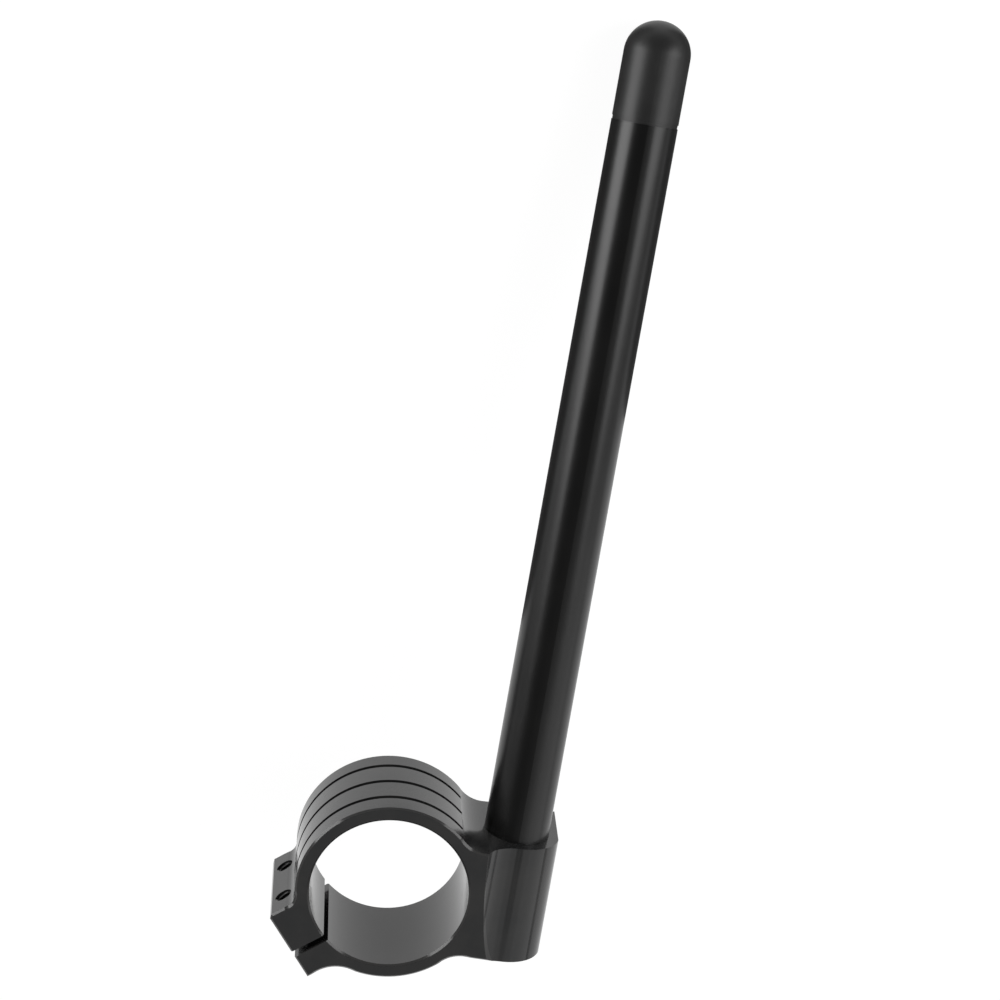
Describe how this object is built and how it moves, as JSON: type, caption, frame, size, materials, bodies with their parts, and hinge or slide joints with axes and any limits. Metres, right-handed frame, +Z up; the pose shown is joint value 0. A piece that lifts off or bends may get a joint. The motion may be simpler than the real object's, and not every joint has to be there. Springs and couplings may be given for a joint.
{
  "type": "clip-on handlebar",
  "caption": "Clip-on handlebar: a split fork clamp with a pinch lug and a grooved collar, a boss that holds a straight drooping bar, and a domed end cap.",
  "frame": {"origin": "centre of the fork bore, at the middle of the clamp's width", "axes": "+Z up along the fork tube, +X outboard along the bar seen from above, the bar stands at -Y of the fork"},
  "size_m": [0.3242, 0.0921, 0.0794],
  "materials": {
    "clamp": "black anodised, glossy satin",
    "bar": "black anodised, satin",
    "end_cap": "matt moulded",
    "plug": "turned",
    "bolts": "black oxide"
  },
  "bodies": {
    "root": {"clamp_body": "clamp", "handlebar_tube": "bar", "bar_end_cap": "end_cap", "tube_plug": "plug", "retaining_bolt": "bolts", "upper_pinch_bolt": "bolts", "lower_pinch_bolt": "bolts"}
  },
  "joints": []
}
